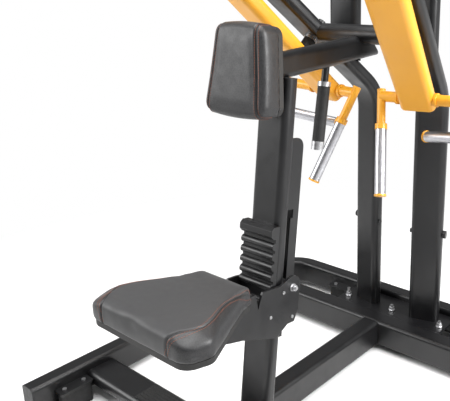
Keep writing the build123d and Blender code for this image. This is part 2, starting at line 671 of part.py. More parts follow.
    # Bumper on the boom's underside; the resting arm leans on it.
    bumper_axis = bend + boom_up * BUMPER_ALONG
    face_distance = (bumper_axis - pivot).dot(arm_up_face) - ARM_DEPTH / 2
    tilt = radians(BOOM_ANGLE - ARM_ANGLE)
    bumper_reach = face_distance / cos(tilt) - BUMPER_RADIUS * tan(tilt) - BUMPER_GAP
    boom_face = OVAL_DEPTH / 2
    collar_end = bumper_axis + under_boom * (boom_face + COLLAR_HEIGHT)
    bumper_collar_rings.append(rod(bumper_axis + under_boom * boom_face, collar_end,
                                   BUMPER_RADIUS + 2))
    bumper_rubbers.append(rod(collar_end, bumper_axis + under_boom * bumper_reach,
                              BUMPER_RADIUS))

    # Black heads: the bumper's nut on top of the boom and the bolts through the upright.
    bolt_heads.append(rod(bumper_axis - under_boom * boom_face,
                          bumper_axis - under_boom * (boom_face + KNOB_HEIGHT), 13))
    bolt_point = swing_point(side, 0, UPRIGHT_BOLT_HEIGHT)
    outer_face = OVAL_WIDTH / 2
    bolt_heads.append(rod(bolt_point + across * outer_face, bolt_point + across * (outer_face + 12),
                          14))
    bolt_heads.append(rod(bolt_point - across * outer_face, bolt_point - across * (outer_face + 6),
                          8))

for group, name in ((shafts, "pivot_shafts"), (bumper_rubbers, "bumpers"),
                    (bumper_collar_rings, "bumper_collars"), (bolt_heads, "black_bolt_heads")):
    with BuildPart() as pieces:
        for piece in group:
            add(piece)
    save(pieces, name)

# ---------------------------------------------------------------- centre grip
stem_top = Vector(0, 115, 1108)
stem_direction = Vector(0, -50, -262).normalized()
STEM_LENGTH = 276
STEM_RADIUS = 11
SLEEVE_SPAN = (82, 250)
with BuildPart() as centre_grip_stem:
    add(rod(stem_top, stem_top + stem_direction * STEM_LENGTH, STEM_RADIUS))
    add(chest_beam_solid, mode=Mode.SUBTRACT)
save(centre_grip_stem, "centre_grip_stem")
COLLAR_SPANS = ((68, SLEEVE_SPAN[0]), (SLEEVE_SPAN[1], STEM_LENGTH))
sleeve_bore = STEM_RADIUS + RUNNING_CLEARANCE
with BuildPart() as centre_grip_sleeve:
    add(pipe(stem_top + stem_direction * SLEEVE_SPAN[0],
             stem_top + stem_direction * SLEEVE_SPAN[1], 19, sleeve_bore))
save(centre_grip_sleeve, "centre_grip_sleeve")
with BuildPart() as centre_grip_collars:
    for span_start, span_end in COLLAR_SPANS:
        add(pipe(stem_top + stem_direction * span_start, stem_top + stem_direction * span_end,
                 20, sleeve_bore))
save(centre_grip_collars, "centre_grip_collars")

# ---------------------------------------------------------------- chest pad
CHEST_TILT = 9
CHEST_FACE = Vector(0, -277, 1122)
CHEST_FOAM = 68
CHEST_HEIGHT = 252
CHEST_TOP_HALF = 88
CHEST_BOTTOM_HALF = 116
CHEST_BOW = 9
CHEST_EDGE_RADIUS = 22
toward_chest = Vector(0, -cos(radians(CHEST_TILT)), sin(radians(CHEST_TILT)))


def chest_outline_plane(depth):
    """Plane of the pad's outline, this far behind its face."""
    return Plane(origin=CHEST_FACE - toward_chest * depth, x_dir=(1, 0, 0), z_dir=toward_chest)


def chest_slab(depth, thickness, inset, corner):
    """Slab of the pad's outline, reaching from this depth towards the face."""
    half = CHEST_HEIGHT / 2 - inset
    with BuildPart(mode=Mode.PRIVATE) as slab:
        with BuildSketch(chest_outline_plane(depth)):
            with BuildLine():
                low = CHEST_BOTTOM_HALF - inset
                high = CHEST_TOP_HALF - inset
                ThreePointArc((-low, CHEST_BOW - half), (0, -half), (low, CHEST_BOW - half))
                Line((low, CHEST_BOW - half), (high, half - CHEST_BOW))
                ThreePointArc((high, half - CHEST_BOW), (0, half), (-high, half - CHEST_BOW))
                Line((-high, half - CHEST_BOW), (-low, CHEST_BOW - half))
            make_face()
            fillet(vertices(), corner)
        extrude(amount=thickness)
    return slab.part


with BuildPart() as chest_cushion:
    add(chest_slab(CHEST_FOAM, CHEST_FOAM, 0, 34))
    fillet(faces().sort_by(Axis.Y)[0].edges(), CHEST_EDGE_RADIUS)
save(chest_cushion, "chest_cushion")

with BuildPart() as chest_board:
    add(chest_slab(CHEST_FOAM + BOARD, BOARD, 4, 30))
save(chest_board, "chest_board")

# The beam passes under the cross tube and ends in a slanted, closed face.
BRACKET_THICKNESS = 8
bracket_plane = chest_outline_plane(CHEST_FOAM + BOARD + BRACKET_THICKNESS)
beam_cut = Plane(origin=(0, 334, 1132), x_dir=(1, 0, 0), z_dir=(0, 0.745, 0.667))
beam_core = solid_bar(BEAM_START, BEAM_END, X_DIRECTION, CHEST_BEAM_WIDTH - 2 * WALL,
                      CHEST_BEAM_HEIGHT - 2 * WALL, OVAL_CORNER - WALL)
beam_shell = split(chest_beam_solid, bisect_by=beam_cut, keep=Keep.BOTTOM)
beam_core = split(beam_core, bisect_by=beam_cut.offset(-WALL), keep=Keep.BOTTOM)
with BuildPart() as chest_beam:
    add(beam_shell)
    add(beam_core, mode=Mode.SUBTRACT)
    add(rod(cross_start, cross_end, CROSS_TUBE_RADIUS), mode=Mode.SUBTRACT)
    with BuildSketch(bracket_plane):
        Rectangle(400, 400)
    extrude(amount=100, mode=Mode.SUBTRACT)
save(chest_beam, "chest_beam")

with BuildPart() as chest_bracket:
    with BuildSketch(bracket_plane):
        RectangleRounded(110, 130, 10)
    extrude(amount=BRACKET_THICKNESS)
save(chest_bracket, "chest_bracket")

# ---------------------------------------------------------------- seat
SEAT_FRONT_Y = -338
SEAT_REAR_Y = -661
SEAT_FRONT_HALF = 100
SEAT_NECK_HALF = 108
SEAT_NECK_Y = -385
SEAT_WIDE_HALF = 214
SEAT_WIDE_Y = -588
SEAT_REAR_HALF = 190
SEAT_EDGE_RADIUS = 16
board_bottom = SEAT_TOP - SEAT_FOAM - BOARD


def seat_slab(bottom, thickness, inset):
    """Slab of the seat's flared outline."""
    with BuildPart(mode=Mode.PRIVATE) as slab:
        with BuildSketch(Plane.XY.offset(bottom)):
            with BuildLine():
                Polyline((SEAT_FRONT_HALF - inset, SEAT_FRONT_Y - inset),
                         (SEAT_NECK_HALF - inset, SEAT_NECK_Y),
                         (SEAT_WIDE_HALF - inset, SEAT_WIDE_Y),
                         (SEAT_REAR_HALF - inset, SEAT_REAR_Y + inset),
                         (inset - SEAT_REAR_HALF, SEAT_REAR_Y + inset),
                         (inset - SEAT_WIDE_HALF, SEAT_WIDE_Y),
                         (inset - SEAT_NECK_HALF, SEAT_NECK_Y),
                         (inset - SEAT_FRONT_HALF, SEAT_FRONT_Y - inset), close=True)
            make_face()
            for corner_y, corner_radius in ((SEAT_REAR_Y + inset, 45), (SEAT_WIDE_Y, 34),
                                            (SEAT_NECK_Y, 60), (SEAT_FRONT_Y - inset, 20)):
                near = [v for v in vertices() if abs(v.Y - corner_y) < 1]
                fillet(near, corner_radius)
        extrude(amount=thickness)
    return slab.part


with BuildPart() as seat_cushion:
    add(seat_slab(SEAT_TOP - SEAT_FOAM, SEAT_FOAM, 0))
    fillet(faces().sort_by(Axis.Z)[-1].edges(), SEAT_EDGE_RADIUS)
save(seat_cushion, "seat_cushion")

with BuildPart() as seat_board:
    add(seat_slab(board_bottom, BOARD, 5))
save(seat_board, "seat_board")

# ---------------------------------------------------------------- seat carriage
CHEEK_INNER = 66
CHEEK_THICKNESS = 8
AXLE_BACK = SLOT_FRONT + SLOT_DEPTH / 2
AXLE_HEIGHT = 460
AXLE_RADIUS = 6
ROLLER_GAP = 0.3
ROLLER_RADIUS = SLOT_DEPTH / 2 - ROLLER_GAP
EAR_ROUND = 35
LATCH_RADIUS = 7
LATCH_GAP = 1.5
LATCH_FORWARD = RACK_DEPTH - front_face + RIB_RADIUS + LATCH_GAP + LATCH_RADIUS
LATCH_HEIGHT = 435
TRAY_THICKNESS = 6


def on_column(across_x, back, height):
    """World point from distances right of, behind and along the column."""
    return (column_foot + X_DIRECTION * across_x + column_plane.y_dir * back
            + column_axis * height)


axle = on_column(0, AXLE_BACK, AXLE_HEIGHT)
latch = on_column(0, -LATCH_FORWARD, LATCH_HEIGHT)
tray_top = board_bottom
with BuildPart() as seat_carriage:
    for side in (-1, 1):
        with BuildSketch(Plane(origin=(side * CHEEK_INNER, 0, 0), x_dir=(0, 1, 0),
                               z_dir=(1, 0, 0))):
            with BuildLine():
                Polyline((-540, tray_top - TRAY_THICKNESS), (-540, 455), (-413, 410),
                         (-364, 396), (-229, 341), (-179, 365), (-149, 362), (-131, 397),
                         (-117, 472), (-158, 509), (-202, 497), (-247, 504), (-275, 507),
                         (-281, 500), (-299, 462), (-305, 512), (-330, 512),
                         (-330, tray_top - TRAY_THICKNESS), close=True)
            make_face()
        extrude(amount=side * CHEEK_THICKNESS)
        ear = Vector(side * CHEEK_INNER, axle.Y, axle.Z)
        add(rod(ear, ear + X_DIRECTION * side * CHEEK_THICKNESS, EAR_ROUND))
    tray_half = CHEEK_INNER + CHEEK_THICKNESS
    with BuildSketch(Plane.XY.offset(tray_top - TRAY_THICKNESS)):
        with Locations((0, -440)):
            Rectangle(2 * tray_half, 200)
    extrude(amount=TRAY_THICKNESS)
    add(rod(latch - X_DIRECTION * CHEEK_INNER, latch + X_DIRECTION * CHEEK_INNER, LATCH_RADIUS))
    add(rod(Vector(-90, axle.Y, axle.Z), Vector(90, axle.Y, axle.Z),
            AXLE_RADIUS + RUNNING_CLEARANCE), mode=Mode.SUBTRACT)
save(seat_carriage, "seat_carriage")

# Rear axle with its nuts, and the cheeks' screws.
with BuildPart() as carriage_fasteners:
    axle_half = X_DIRECTION * (CHEEK_INNER + CHEEK_THICKNESS + 16)
    add(rod(axle - axle_half, axle + axle_half, AXLE_RADIUS))
    for side in (-1, 1):
        cheek_face = X_DIRECTION * side * (CHEEK_INNER + CHEEK_THICKNESS)
        add(rod(axle + cheek_face, axle + cheek_face + X_DIRECTION * side * 3, 12))
        add(hex_head(axle + cheek_face + X_DIRECTION * side * 3,
                     axle + cheek_face + X_DIRECTION * side * 11, 18))
        for screw_y, screw_z in ((-192, 473), (-158, 382), (-251, 418)):
            head = Vector(0, screw_y, screw_z) + cheek_face
            add(rod(head, head + X_DIRECTION * side * 2.5, 5))
save(carriage_fasteners, "carriage_fasteners")

# Plastic rollers in the guide's slot and glide blocks beside the column.
GLIDE_GAP = 0.3
with BuildPart() as carriage_rollers:
    roller_half = X_DIRECTION * (GUIDE_HALF_WIDTH + 4)
    add(pipe(axle - roller_half, axle + roller_half, ROLLER_RADIUS,
             AXLE_RADIUS + RUNNING_CLEARANCE))
    for side in (-1, 1):
        for height in (372, 440):
            inner = on_column(side * (OVAL_WIDTH / 2 + GLIDE_GAP), 0, height)
            outer = on_column(side * CHEEK_INNER, 0, height)
            add(solid_bar(inner, outer, column_plane.y_dir, 16, 36, 2))
save(carriage_rollers, "carriage_rollers")
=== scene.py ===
"""Plate-loaded seated row machine: finishes, upholstery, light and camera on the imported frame.

Everything is in metres in the frame of the model: +Z up, +Y the way the user
faces, +X the user's right.
"""
import json
import math

import bmesh
import bpy
from mathutils import Matrix, Vector
from mathutils.bvhtree import BVHTree


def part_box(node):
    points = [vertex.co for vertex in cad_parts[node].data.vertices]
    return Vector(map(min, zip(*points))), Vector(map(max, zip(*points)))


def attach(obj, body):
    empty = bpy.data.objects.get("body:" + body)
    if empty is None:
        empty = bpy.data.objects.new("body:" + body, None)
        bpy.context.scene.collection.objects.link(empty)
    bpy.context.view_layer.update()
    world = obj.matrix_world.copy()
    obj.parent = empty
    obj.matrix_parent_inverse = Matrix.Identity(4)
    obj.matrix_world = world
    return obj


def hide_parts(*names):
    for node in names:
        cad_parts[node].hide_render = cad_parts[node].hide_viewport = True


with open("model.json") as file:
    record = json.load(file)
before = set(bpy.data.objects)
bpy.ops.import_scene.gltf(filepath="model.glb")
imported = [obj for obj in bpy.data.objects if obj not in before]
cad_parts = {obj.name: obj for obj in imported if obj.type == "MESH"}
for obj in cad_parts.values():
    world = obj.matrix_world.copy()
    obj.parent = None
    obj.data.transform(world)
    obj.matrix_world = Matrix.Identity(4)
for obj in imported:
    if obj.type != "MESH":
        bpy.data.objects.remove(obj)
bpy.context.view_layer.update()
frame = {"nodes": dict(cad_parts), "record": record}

scene = bpy.context.scene
MM = 0.001
# A mix node repeats its sockets for each data type; these are the colour ones.
MIX_FIRST, MIX_SECOND, MIX_RESULT = 6, 7, 2


# ---------------------------------------------------------------- materials
class Finish:
    """A node material: one principled shader and the textures that drive it."""

    def __init__(self, name, roughness, metallic=0.0):
        self.material = bpy.data.materials.new(name)
        self.material.use_nodes = True
        self.nodes = self.material.node_tree.nodes
        self.shader = self.nodes["Principled BSDF"]
        self.shader.inputs["Roughness"].default_value = roughness
        self.shader.inputs["Metallic"].default_value = metallic
        self.place = self.nodes.new("ShaderNodeTexCoord").outputs["Object"]
        self.normal = None

    def link(self, output, socket):
        self.material.node_tree.links.new(output, socket)

    def stretched(self, scale):
        """Object coordinates scaled apart along the axes, for brushed or fibrous grain."""
        mapping = self.nodes.new("ShaderNodeMapping")
        mapping.inputs["Scale"].default_value = scale
        self.link(self.place, mapping.inputs["Vector"])
        return mapping.outputs["Vector"]

    def noise(self, scale, detail=3.0, place=None):
        texture = self.nodes.new("ShaderNodeTexNoise")
        texture.inputs["Scale"].default_value = scale
        texture.inputs["Detail"].default_value = detail
        self.link(place or self.place, texture.inputs["Vector"])
        return texture.outputs["Fac"]

    def pebbles(self, scale):
        """Rounded leather grain: distance to the nearest cell centre."""
        texture = self.nodes.new("ShaderNodeTexVoronoi")
        texture.feature = "SMOOTH_F1"
        texture.inputs["Scale"].default_value = scale
        texture.inputs["Smoothness"].default_value = 0.6
        self.link(self.place, texture.inputs["Vector"])
        return texture.outputs["Distance"]

    def ranged(self, value, low, high, out_low, out_high):
        ranging = self.nodes.new("ShaderNodeMapRange")
        for socket, number in (("From Min", low), ("From Max", high),
                               ("To Min", out_low), ("To Max", out_high)):
            ranging.inputs[socket].default_value = number
        self.link(value, ranging.inputs["Value"])
        return ranging.outputs["Result"]

    def blended(self, factor, first, second):
        mix = self.nodes.new("ShaderNodeMix")
        mix.data_type = "RGBA"
        self.link(factor, mix.inputs["Factor"])
        for socket, colour in ((mix.inputs[MIX_FIRST], first), (mix.inputs[MIX_SECOND], second)):
            if isinstance(colour, tuple):
                socket.default_value = (*colour, 1.0)
            else:
                self.link(colour, socket)
        return mix.outputs[MIX_RESULT]

    def colour(self, output):
        self.link(output, self.shader.inputs["Base Color"])

    def roughness(self, output):
        self.link(output, self.shader.inputs["Roughness"])

    def soft_edges(self, radius):
        """Round the shading of sharp edges, the way folded and coated steel looks."""
        bevel = self.nodes.new("ShaderNodeBevel")
        bevel.samples = 4
        bevel.inputs["Radius"].default_value = radius
        self.normal = bevel.outputs["Normal"]
        self.link(self.normal, self.shader.inputs["Normal"])

    def bump(self, height, strength, distance):
        node = self.nodes.new("ShaderNodeBump")
        node.inputs["Strength"].default_value = strength
        node.inputs["Distance"].default_value = distance
        self.link(height, node.inputs["Height"])
        if self.normal:
            self.link(self.normal, node.inputs["Normal"])
        self.normal = node.outputs["Normal"]
        self.link(self.normal, self.shader.inputs["Normal"])


def powder_coat(name, colour, shade, roughness, coat):
    """Sprayed coat: faint orange peel, slight tone drift and dust-dulled patches."""
    finish = Finish(name, roughness)
    finish.soft_edges(radius=1.6 * MM)
    tone_drift = finish.noise(scale=7, detail=4)
    finish.colour(finish.blended(tone_drift, shade, colour))
    dust = finish.noise(scale=24, detail=6)
    finish.roughness(finish.ranged(dust, low=0.3, high=0.7,
                                   out_low=roughness - 0.06, out_high=roughness + 0.08))
    orange_peel = finish.noise(scale=650, detail=2)
    finish.bump(orange_peel, strength=0.10, distance=0.25 * MM)
    finish.shader.inputs["Coat Weight"].default_value = coat
    finish.shader.inputs["Coat Roughness"].default_value = 0.22
    return finish.material


def bare_metal(name, colour, shade, roughness, grain):
    """Bright metal with fine drawn or turned lines and light handling marks."""
    finish = Finish(name, roughness, metallic=1.0)
    finish.soft_edges(radius=0.5 * MM)
    lines = finish.noise(scale=1.0, detail=4, place=finish.stretched(grain))
    handling_marks = finish.noise(scale=60, detail=5)
    finish.colour(finish.blended(handling_marks, shade, colour))
    finish.roughness(finish.ranged(lines, low=0.25, high=0.75,
                                   out_low=roughness - 0.08, out_high=roughness + 0.12))
    finish.bump(lines, strength=0.06, distance=0.1 * MM)
    return finish.material


WORN_PALENESS = 1.7


def moulded(name, colour, roughness, grain_scale, strength):
    """Rubber or plastic with a fine mould texture and worn, paler patches."""
    finish = Finish(name, roughness)
    finish.soft_edges(radius=0.8 * MM)
    paler = tuple(channel * WORN_PALENESS for channel in colour)
    worn = finish.ranged(finish.noise(scale=30, detail=6), low=0.45, high=0.75,
                         out_low=0.0, out_high=1.0)
    finish.colour(finish.blended(worn, colour, paler))
    finish.roughness(finish.ranged(finish.noise(scale=80, detail=4), low=0.3, high=0.7,
                                   out_low=roughness - 0.08, out_high=roughness + 0.08))
    finish.bump(finish.noise(grain_scale, detail=3), strength, distance=0.3 * MM)
    return finish.material


def leather(name, colour, shade, roughness, pebble_scale, strength):
    """Synthetic leather: rounded grain, with painted shade darkening the hollows between the
    pebbles.
    """
    finish = Finish(name, roughness)
    grain = finish.pebbles(pebble_scale)
    # Painted shade: the hollows between the pebbles take the darker colour.
    valley_shade = finish.ranged(grain, low=0.25, high=0.75, out_low=0.0, out_high=1.0)
    finish.colour(finish.blended(valley_shade, colour, shade))
    finish.roughness(finish.ranged(finish.noise(scale=35, detail=5), low=0.3, high=0.7,
                                   out_low=roughness - 0.05, out_high=roughness + 0.07))
    finish.bump(grain, -strength, distance=0.6 * MM)
    wrinkles = finish.noise(scale=28, detail=3)
    finish.bump(wrinkles, strength=0.12, distance=1.2 * MM)
    finish.shader.inputs["Sheen Weight"].default_value = 0.08
    finish.shader.inputs["Sheen Roughness"].default_value = 0.4
    return finish.material


def fibre(name, colour, shade, roughness, grain):
    """Twisted thread or painted board, with a grain along one axis."""
    finish = Finish(name, roughness)
    strands = finish.noise(scale=1.0, detail=5, place=finish.stretched(grain))
    finish.colour(finish.blended(strands, shade, colour))
    finish.bump(strands, strength=0.3, distance=0.2 * MM)
    return finish.material


FRAME_PAINT = powder_coat("black_powder_coat", (0.0060, 0.0060, 0.0068),
                          (0.0035, 0.0035, 0.0040), 0.36, 0.06)
ARM_PAINT = powder_coat("amber_powder_coat", (0.84, 0.39, 0.022), (0.74, 0.33, 0.017), 0.38, 0.2)
GRIP_METAL = bare_metal("satin_grip_metal", (0.64, 0.64, 0.66), (0.50, 0.50, 0.53), 0.32,
                        (500, 500, 60))
ZINC = bare_metal("zinc_plated_steel", (0.66, 0.66, 0.67), (0.46, 0.46, 0.47), 0.34,
                  (300, 300, 300))
CHROME = bare_metal("bright_steel", (0.74, 0.74, 0.76), (0.62, 0.62, 0.65), 0.20, (60, 700, 700))
RUBBER = moulded("black_rubber", (0.007, 0.007, 0.007), 0.68, 700, 0.35)
PLASTIC = moulded("black_plastic", (0.006, 0.006, 0.007), 0.48, 900, 0.2)
IRON = moulded("black_cast_iron", (0.009, 0.009, 0.010), 0.55, 380, 0.6)
BOARD = fibre("black_board", (0.016, 0.015, 0.014), (0.008, 0.008, 0.008), 0.6, (30, 400, 900))
# The second colour of each leather is its painted shade in the pebble hollows.
SMOOTH_LEATHER = leather("smooth_leather", (0.034, 0.034, 0.035), (0.028, 0.028, 0.029), 0.52,
                         900, 0.12)
PEBBLED_LEATHER = leather("pebbled_leather", (0.022, 0.022, 0.023), (0.007, 0.007, 0.008), 0.45,
                          330, 0.85)
# Far darker leather for the bottom of the seam grooves: painted shade in the groove.
GROOVE_SHADE = leather("seam_groove_shade", (0.006, 0.006, 0.006), (0.004, 0.004, 0.004), 0.6, 900, 0.2)
THREAD = fibre("rust_thread", (0.30, 0.090, 0.040), (0.18, 0.048, 0.022), 0.65,
               (900, 900, 2500))

SLOT_FINISH = {
    "frame_paint": FRAME_PAINT, "arm_paint": ARM_PAINT, "grip_metal": GRIP_METAL,
    "zinc_hardware": ZINC, "bright_steel": CHROME, "rubber": RUBBER,
    "black_plastic": PLASTIC, "counterweight_iron": IRON, "pad_board": BOARD,
    "upholstery": SMOOTH_LEATHER,
}
for subpart in frame["record"]["subparts"]:
    cad_node = frame["nodes"][subpart["node"]]
    cad_node.data.materials.clear()
    cad_node.data.materials.append(SLOT_FINISH[subpart["material_slot"]])


# ---------------------------------------------------------------- helpers for pieces
def new_object(name, mesh, materials):
    piece = bpy.data.objects.new(name, mesh)
    scene.collection.objects.link(piece)
    for material in materials:
        mesh.materials.append(material)
    return piece


def apply_modifiers(piece):
    """Keep what the modifiers make of a piece, and drop the modifiers."""
    bpy.context.view_layer.update()
    graph = bpy.context.evaluated_depsgraph_get()
    mesh = bpy.data.meshes.new_from_object(piece.evaluated_get(graph))
    piece.modifiers.clear()
    piece.data = mesh


def falloff(distance, width):
    return math.exp(-((distance / width) ** 2))


def smooth(value, start, end):
    """0 before start, 1 after end, with a smooth turn between."""
    share = min(max((value - start) / (end - start), 0.0), 1.0)
    return share * share * (3 - 2 * share)


SIM_FRAMES = 20
SIM_PRESSURE = 4.0
CLOTH_STIFFNESS = 60.0
CLOTH_QUALITY = 6
RELAX_FACTOR = 0.5
RELAX_PASSES = 14


def puffed_copy(name, node, voxel, shrink, cap, is_backed):
    """Remesh a CAD solid, shrink it a little and let cloth pressure crown it.

    No point ends further than cap from its shrunken place before the relaxing passes.
    """
    piece = new_object(name, frame["nodes"][node].data.copy(), [])
    piece.data.materials.clear()
    remesh = piece.modifiers.new("remesh", "REMESH")
    remesh.mode = "VOXEL"
    remesh.voxel_size = voxel
    apply_modifiers(piece)
    mesh = piece.data
    normals = [vertex.normal.copy() for vertex in mesh.vertices]
    pinned = piece.vertex_groups.new(name="backing")
    for vertex, normal in zip(mesh.vertices, normals):
        if is_backed(vertex.co, normal):
            pinned.add([vertex.index], 1.0, "REPLACE")
        else:
            vertex.co -= normal * shrink
    start = [vertex.co.copy() for vertex in mesh.vertices]
    cloth = piece.modifiers.new("cloth", "CLOTH")
    cloth.settings.use_pressure = True
    cloth.settings.uniform_pressure_force = SIM_PRESSURE
    cloth.settings.vertex_group_mass = pinned.name
    cloth.settings.effector_weights.gravity = 0.0
    cloth.settings.quality = CLOTH_QUALITY
    cloth.settings.tension_stiffness = CLOTH_STIFFNESS
    cloth.settings.compression_stiffness = CLOTH_STIFFNESS
    cloth.settings.bending_stiffness = CLOTH_STIFFNESS
    cloth.point_cache.frame_start = 1
    cloth.point_cache.frame_end = SIM_FRAMES
    for step in range(1, SIM_FRAMES + 1):
        scene.frame_set(step)
    apply_modifiers(piece)
    scene.frame_set(1)
    for vertex, begun in zip(piece.data.vertices, start):
        move = vertex.co - begun
        if move.length > cap:
            vertex.co = begun + move * (cap / move.length)
    relax = piece.modifiers.new("relax", "SMOOTH")
    relax.factor = RELAX_FACTOR
    relax.iterations = RELAX_PASSES
    apply_modifiers(piece)
    piece.vertex_groups.clear()
    return piece


def refine(piece, wanted):
    """Halve the mesh where wanted says so, to carry a narrow seam."""
    work = bmesh.new()
    work.from_mesh(piece.data)
    edges = [edge for edge in work.edges if all(wanted(vertex.co) for vertex in edge.verts)]
    bmesh.ops.subdivide_edges(work, edges=edges, cuts=1, use_grid_fill=True, smooth=0.0)
    work.to_mesh(piece.data)
    work.free()


SEAM_DEPTH = 3.2 * MM
SEAM_WIDTH = 3.0 * MM
ROLL_HEIGHT = 0.5 * MM
ROLL_OFFSET = 8 * MM
ROLL_WIDTH = 4 * MM
SEAM_REACH = 16 * MM
REFINEMENTS = 2
REACH_SHRINK = 0.6
# Half width of the groove's bottom that is painted dark as shade.
GROOVE_SHADE_HALF = 1.9 * MM
STITCH_OFFSET = 5.6 * MM
STITCH_LENGTH = 4.6 * MM
STITCH_PITCH = 6.4 * MM
THREAD_RADIUS = 0.55 * MM
THREAD_SIDES = 6
# Along a stitch: share of its length, share of the thread's radius, height in thread radii.
THREAD_PROFILE = ((0.0, 0.35, -0.6), (0.2, 1.0, 0.35), (0.5, 1.1, 0.6), (0.8, 1.0, 0.35),
                  (1.0, 0.35, -0.6))
SHORTEST_STEP = 1e-6
STITCH_SAMPLES = 240
GROOVE_SHADE_INDEX = 2


def sew(piece, seam_distance, is_side, materials):
    """Pull a groove into the piece along its seam and give each panel its leather.

    materials are those of the top panel, the side panel and the groove's bottom, which gets a
    far darker leather as painted shade.
    """
    reach = SEAM_REACH
    for _ in range(REFINEMENTS):
        refine(piece, lambda point: abs(seam_distance(point)) < reach)
        reach *= REACH_SHRINK
    mesh = piece.data
    moves = []
    for vertex in mesh.vertices:
        distance = seam_distance(vertex.co)
        lift = ROLL_HEIGHT * falloff(abs(distance) - ROLL_OFFSET, ROLL_WIDTH)
        moves.append(vertex.normal * (lift - SEAM_DEPTH * falloff(distance, SEAM_WIDTH)))
    for vertex, move in zip(mesh.vertices, moves):
        vertex.co += move
    mesh.materials.clear()
    for material in materials:
        mesh.materials.append(material)
    for face in mesh.polygons:
        distance = seam_distance(face.center)
        face.use_smooth = True
        # Faces along the groove's bottom take the far darker leather, as painted shade.
        in_groove_shade = abs(distance) < GROOVE_SHADE_HALF
        face.material_index = GROOVE_SHADE_INDEX if in_groove_shade else int(is_side(face.center))


def stitch_line(work, points, normals):
    """Lay short raised threads along a line of surface points."""
    travelled = 0.0
    next_start = 0.0
    for index in range(len(points) - 1):
        step = points[index + 1] - points[index]
        if step.length < SHORTEST_STEP:
            continue
        direction = step.normalized()
        while next_start < travelled + step.length:
            begin = points[index] + direction * (next_start - travelled)
            thread(work, begin, direction, normals[index])
            next_start += STITCH_PITCH
        travelled += step.length


def thread(work, begin, direction, normal):
    """One stitch: a faceted thread that dives into the leather at both ends."""
    across = direction.cross(normal).normalized()
    rings = []
    for share, radius, height in THREAD_PROFILE:
        centre = begin + direction * STITCH_LENGTH * share + normal * THREAD_RADIUS * height
        ring = []
        for corner in range(THREAD_SIDES):
            angle = corner * 2 * math.pi / THREAD_SIDES
            spoke = across * math.cos(angle) + normal * math.sin(angle)
            ring.append(work.verts.new(centre + spoke * THREAD_RADIUS * radius))
        rings.append(ring)
    for first, second in zip(rings, rings[1:]):
        for corner in range(THREAD_SIDES):
            after = (corner + 1) % THREAD_SIDES
            work.faces.new((first[corner], first[after], second[after], second[corner]))
    work.faces.new(rings[0][::-1])
    work.faces.new(rings[-1])


def trace(tree, origins, aims):
    """Surface points and normals hit from each origin towards its aim."""
    points, normals = [], []
    for origin, aim in zip(origins, aims):
        hit, normal, _, _ = tree.ray_cast(origin, (aim - origin).normalized())
        if hit is not None:
            points.append(hit)
            normals.append(normal)
    return points, normals


def surface_of(piece):
    return BVHTree.FromPolygons([vertex.co.copy() for vertex in piece.data.vertices],
                                [tuple(face.vertices) for face in piece.data.polygons])


def stitching(name, piece, start, end, aimed):
    """Stitches along both edges of both seams of a piece, as one object.

    From start to end degrees around the piece, aimed(side, offset, angle) gives a place
    under the seam and the way out of the piece from there.
    """
    surface = surface_of(piece)
    work = bmesh.new()
    for side in (-1, 1):
        for offset in (-STITCH_OFFSET, STITCH_OFFSET):
            origins, aims = [], []
            for step in range(STITCH_SAMPLES + 1):
                angle = math.radians(start + (end - start) * step / STITCH_SAMPLES)
                aim, way_out = aimed(side, offset, angle)
                origins.append(aim + way_out)
                aims.append(aim)
            stitch_line(work, *trace(surface, origins, aims))
    mesh = bpy.data.meshes.new(name)
    work.to_mesh(mesh)
    work.free()
    return new_object(name, mesh, [THREAD])


# ---------------------------------------------------------------- seat cushion
seat_low, seat_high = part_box("seat_cushion")
SEAT_MIDDLE_Y = (seat_low.y + seat_high.y) / 2
SEAT_LENGTH = seat_high.y - seat_low.y
# The seam's distance from the middle, from the seat's front edge to its rear edge.
SEAM_KNOTS = ((0.00, 0.091), (0.19, 0.103), (0.43, 0.127), (0.61, 0.158), (0.73, 0.168),
              (0.83, 0.158), (0.92, 0.140), (1.00, 0.129))
SEAT_SHAPED_ABOVE = 0.3
SIDE_DROP = 0.30
CROWN_HEIGHT = 5 * MM
CROWN_WIDTH = 0.13
CROWN_LENGTH = 0.16
FRONT_DROP = 12 * MM
FRONT_DROP_RUN_IN = 0.05
SEAT_AIM_SHARE = 0.8
SEAT_AIM_HEIGHT = 12 * MM
SEAT_RAY = 0.5
BACKING_FACES = 0.7


def seat_seam(y):
    """Half width of the seat's top panel at a distance along the seat."""
    share = min(max((seat_high.y - y) / SEAT_LENGTH, 0.0), 1.0)
    knots = (SEAM_KNOTS[0], *SEAM_KNOTS, SEAM_KNOTS[-1])
    stretch = next(i for i, knot in enumerate(SEAM_KNOTS[1:]) if share <= knot[0])
    before, near, far, after = knots[stretch:stretch + 4]
    span = far[0] - near[0]
    turn = (share - near[0]) / span
    leaving = (far[1] - before[1]) / (far[0] - before[0]) * span
    arriving = (after[1] - near[1]) / (after[0] - near[0]) * span
    bend = turn * turn * (3 - 2 * turn)
    return (near[1] + (far[1] - near[1]) * bend
            + leaving * turn * (1 - turn) ** 2 - arriving * turn ** 2 * (1 - turn))


def seat_distance(point):
    return abs(point.x) - seat_seam(point.y)


def seat_backed(point, normal):
    return normal.z < -BACKING_FACES


def seat_aim(side, offset, angle):
    """A place inside the seat, under its seam, and the way out of the seat from there."""
    along = math.cos(angle) * SEAT_LENGTH / 2
    aim = Vector((side * (seat_seam(SEAT_MIDDLE_Y + along) + offset),
                  SEAT_MIDDLE_Y + along * SEAT_AIM_SHARE, seat_low.z + SEAT_AIM_HEIGHT))
    return aim, Vector((0, math.cos(angle), math.sin(angle))) * SEAT_RAY


seat = puffed_copy("seat_upholstery", "seat_cushion", voxel=5 * MM, shrink=1.5 * MM,
                   cap=4 * MM, is_backed=seat_backed)
